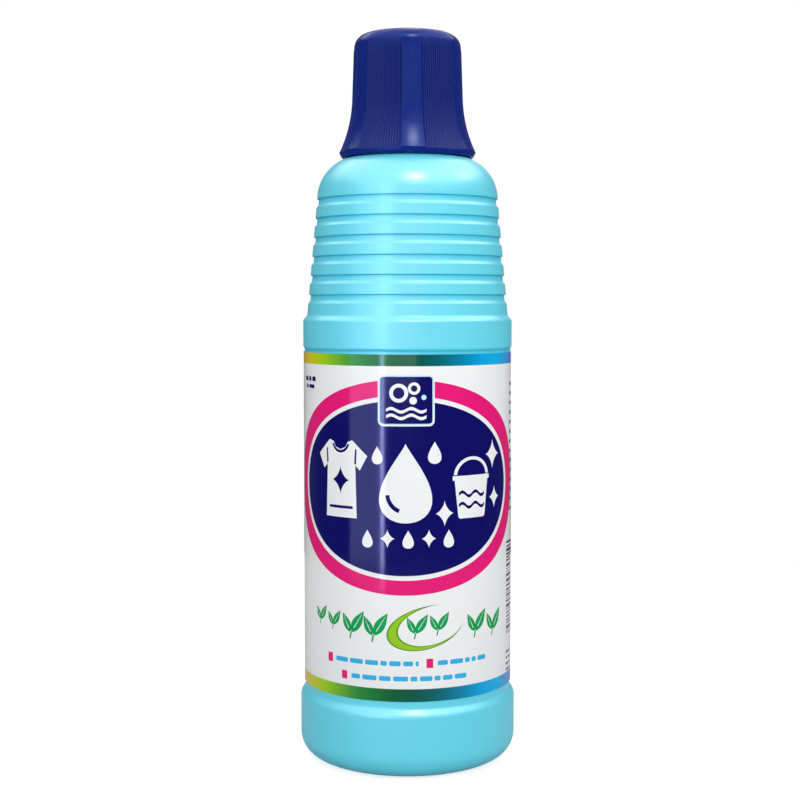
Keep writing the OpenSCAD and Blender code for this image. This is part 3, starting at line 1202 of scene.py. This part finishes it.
# ---------------------------------------------------------------- the cap and its sealing disc
cap_body = grown(
    "cap",
    outline_mesh("cap_line", cap_outline(), flute_side),
    turned,
    {
        "Steps": 864,
        "Flute depth": FLUTE_DEPTH * MM,
        "Panels": PANELS,
        "Panel width": math.radians(GRIP_PANEL),
        "Flutes": FLUTES,
        "Grip turn": math.radians(GRIP_TURN - 90 - EDGE_SHIFT),
    },
    cap_plastic,
)
for vertex in cap_body.vertices:
    vertex.co.z += CAP_Z * MM
cap_thread = thread_mesh(
    "cap_thread",
    cap_plastic,
    root=CAP_BORE_R,
    crest=CAP_CREST_R,
    half_root=0.75,
    half_crest=0.4,
    low=THREAD_LOW + THREAD_OFFSET,
    turns=1.1,
)
cap = piece_of("cap_moulding", [cap_body, *cap_thread], cap_plastic)

low, top = MOUTH_Z, CAP_Z + CAP_H - PLATE_T
disc_line = rounded([(0, low, 0), (LINER_R, low, 0.15), (LINER_R, top, 0.15), (0, top, 0)])
disc = grown("liner", outline_mesh("liner_line", disc_line), turned, {"Steps": 128}, liner_foam)
liner = piece_of("sealing_disc", [disc], liner_foam)

# ---------------------------------------------------------------- the label
# places on the flat map: the print lies above PRINT_FROM, the rest in strips under it
PRINT_FROM = 0.16
BACK_SHARE = 0.06
LOW_EDGE, TOP_EDGE, LEFT_EDGE, RIGHT_EDGE = 0.07, 0.09, 0.11, 0.13
OUTER_SIDE = 0.014


def finish_film(piece):
    """Gives the film a true cylinder's normals with flat cut edges, a plain white back, and a
    flat map with the print over nearly all of it."""
    mesh = piece.data
    flat, colour = mesh.uv_layers["OFBake"].data, mesh.color_attributes["print"].data
    normals = []
    for face in mesh.polygons:
        n = face.normal
        for corner, index in zip(face.loop_indices, face.vertices, strict=True):
            x, y, _ = mesh.vertices[index].co
            out = Vector((x, y, 0)).normalized()
            facing = n.dot(out)
            u, v = flat[corner].uv
            normals.append(out * math.copysign(1, facing) if abs(facing) > 0.9 else n.copy())
            if facing > 0.9:
                flat[corner].uv = (u, PRINT_FROM + (1 - PRINT_FROM) * v)
                continue
            colour[corner].color = (*WHITE, 1)
            side = OUTER_SIDE if math.hypot(x, y) > (FILM_R - FILM_T / 2) * MM else 0
            if facing < -0.9:
                flat[corner].uv = (u, BACK_SHARE * v)
            elif abs(n.z) > 0.5:
                flat[corner].uv = (u, (LOW_EDGE if n.z < 0 else TOP_EDGE) + side)
            else:
                flat[corner].uv = (v, (LEFT_EDGE if u < 0.5 else RIGHT_EDGE) + side)
    mesh.normals_split_custom_set(normals)


wound = grown(
    "label",
    printed_sheet(),
    film,
    {
        "Radius": FILM_R * MM,
        "Thickness": FILM_T * MM,
        "Lap from": (-HALF_ROUND + LAP + LAP_RAMP) * MM,
        "Lap ramp": LAP_RAMP * MM,
    },
    label_film,
)
label = piece_of("label_film", [wound], label_film)
finish_film(label)

for piece, body, node, slot in (
    (bottle, "bottle", "bottle", "bottle_plastic"),
    (label, "bottle", "label", "label_film"),
    (cap, "cap", "cap", "cap_plastic"),
    (liner, "liner", "cap_liner", "liner_foam"),
):
    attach(piece, body)
    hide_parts(node)


# ---------------------------------------------------------------- floor, light and camera
FLOOR_R = 0.4
FLOOR_SHADE = 0.4  # its brightness to the light that bounces off it
FLOOR_LIFT = 0.22  # how much brighter it is to the camera
FLOOR_GLOW = 0.7
FLOOR_IN_GLOSS = 0.12
AMBIENT = 0.75
GLOSS_ROOM = 0.1
CAMERA_LENS = 68.0
CAMERA_SHIFT = (-0.0094, -0.04)
CAMERA_AT = (0, -0.4935, 0.1479)
CAMERA_DOWN = 2.53  # in degrees


def studio_floor():
    """A plain white floor that stays white to the camera and keeps the bottle's shadow."""
    mesh = bpy.data.meshes.new("floor")
    rim = [(FLOOR_R * cos(tau * i / 96), FLOOR_R * sin(tau * i / 96), -0.0002) for i in range(96)]
    mesh.from_pydata(rim, [], [tuple(range(96))])
    floor = bpy.data.objects.new("floor", mesh)
    bpy.context.scene.collection.objects.link(floor)
    material = bpy.data.materials.new("white floor")
    material.use_nodes = True
    tree = material.node_tree
    shader = tree.nodes["Principled BSDF"]
    shader.inputs["Roughness"].default_value = 0.9
    shader.inputs["Specular IOR Level"].default_value = 0.1
    shader.inputs["Emission Color"].default_value = (1, 1, 1, 1)
    rays = add(tree, "ShaderNodeLightPath").outputs
    lift = calc(tree, "MULTIPLY", rays["Is Camera Ray"], FLOOR_LIFT)
    tree.links.new(calc(tree, "ADD", FLOOR_SHADE, lift), shader.inputs["Base Color"])
    gloss = calc(tree, "MULTIPLY", rays["Is Glossy Ray"], FLOOR_IN_GLOSS)
    seen = calc(tree, "MAXIMUM", rays["Is Camera Ray"], rays["Is Transmission Ray"])
    glow = calc(tree, "MULTIPLY", calc(tree, "MAXIMUM", seen, gloss), FLOOR_GLOW)
    tree.links.new(glow, shader.inputs["Emission Strength"])
    mesh.materials.append(material)


def soft_light(
    name, azimuth, elevation, far, wide, tall, level,
    aim=0.12, gloss=True, matt=True, tint=(1, 1, 1),
):
    """A soft lamp of an even brightness round the bottle: azimuth 0 is in front, positive to
    the right. gloss and matt say which light of the bottle's surface it gives."""
    data = bpy.data.lights.new(name, "AREA")
    data.shape, data.size, data.size_y = "RECTANGLE", wide, tall
    data.energy = level * pi * wide * tall
    data.color = tint
    lamp = bpy.data.objects.new(name, data)
    a, e = math.radians(azimuth), math.radians(elevation)
    target = Vector((0, 0, aim))
    lamp.location = target + far * Vector((sin(a) * cos(e), -cos(a) * cos(e), sin(e)))
    lamp.rotation_euler = (target - lamp.location).to_track_quat("-Z", "Y").to_euler()
    lamp.visible_glossy = gloss
    lamp.visible_diffuse = matt
    bpy.context.scene.collection.objects.link(lamp)


def studio_world():
    """Even pale light all round, a white backdrop to the camera, and a dim room in the gloss."""
    world = bpy.data.worlds.new("studio")
    world.use_nodes = True
    bpy.context.scene.world = world
    tree = world.node_tree
    tree.nodes.clear()
    rays = add(tree, "ShaderNodeLightPath").outputs
    seen = calc(tree, "MAXIMUM", rays["Is Camera Ray"], rays["Is Transmission Ray"])
    less = calc(tree, "MULTIPLY", rays["Is Glossy Ray"], AMBIENT - GLOSS_ROOM)
    dim = calc(tree, "SUBTRACT", AMBIENT, less)
    more = calc(tree, "MULTIPLY", seen, calc(tree, "SUBTRACT", 1.0, dim))
    strength = calc(tree, "ADD", more, dim)
    ground = add(tree, "ShaderNodeBackground", {"Color": (1, 1, 1, 1), "Strength": strength})
    out = add(tree, "ShaderNodeOutputWorld")
    tree.links.new(ground.outputs[0], out.inputs[0])


studio_floor()
studio_world()
# degrees round and up, then metres off, wide and tall, then the level
soft_light("tall softbox", -46, 0, 1.1, 0.74, 1.5, 3.4, matt=False, tint=(0.62, 0.7, 1))
soft_light("softbox edge", -26.9, 0, 1.1, 0.07, 1.5, 34, matt=False, tint=(0.5, 0.54, 1))
soft_light("small lamp", 12, 48, 0.9, 0.15, 0.15, 104, aim=0.19, matt=False)
soft_light("right lamp", 95, 40, 1.0, 0.16, 0.16, 24, aim=0.19, matt=False)
soft_light("ceiling", 0, 88, 1.0, 3.0, 2.6, 3.6, matt=False)
soft_light("low panel", -9, 2.6, 1.2, 0.8, 0.22, 3.2, matt=False)
soft_light("high panel", 6, 14, 1.2, 2.2, 0.3, 1.8, aim=0.165, matt=False)
soft_light("right sky", 66, 52, 1.1, 0.9, 0.7, 2.0, matt=False)
soft_light("key", 6, 8, 1.2, 0.5, 0.5, 3.4, aim=0.15, gloss=False)
soft_light("front fill", 6, 6, 1.6, 3.2, 1.5, 0.66, gloss=False)
soft_light("left fill", -56, 6, 1.6, 1.2, 1.5, 0.12, gloss=False)
soft_light("right fill", 66, 6, 1.6, 1.2, 1.5, 0.35, gloss=False)
soft_light("back fill", 180, 15, 1.6, 1.2, 1.2, 1.5, gloss=False)
soft_light("back panel", 170, 20, 1.2, 0.3, 1.2, 1.2, matt=False)

camera_data = bpy.data.cameras.new("camera")
camera_data.sensor_width = 36
camera_data.lens = CAMERA_LENS
camera_data.shift_x, camera_data.shift_y = CAMERA_SHIFT
camera_data.clip_start = 0.01
camera = bpy.data.objects.new("camera", camera_data)
camera.location = CAMERA_AT
camera.rotation_euler = (math.radians(90 - CAMERA_DOWN), 0, 0)
bpy.context.scene.collection.objects.link(camera)
bpy.context.scene.camera = camera
bpy.context.scene.view_settings.view_transform = "Standard"
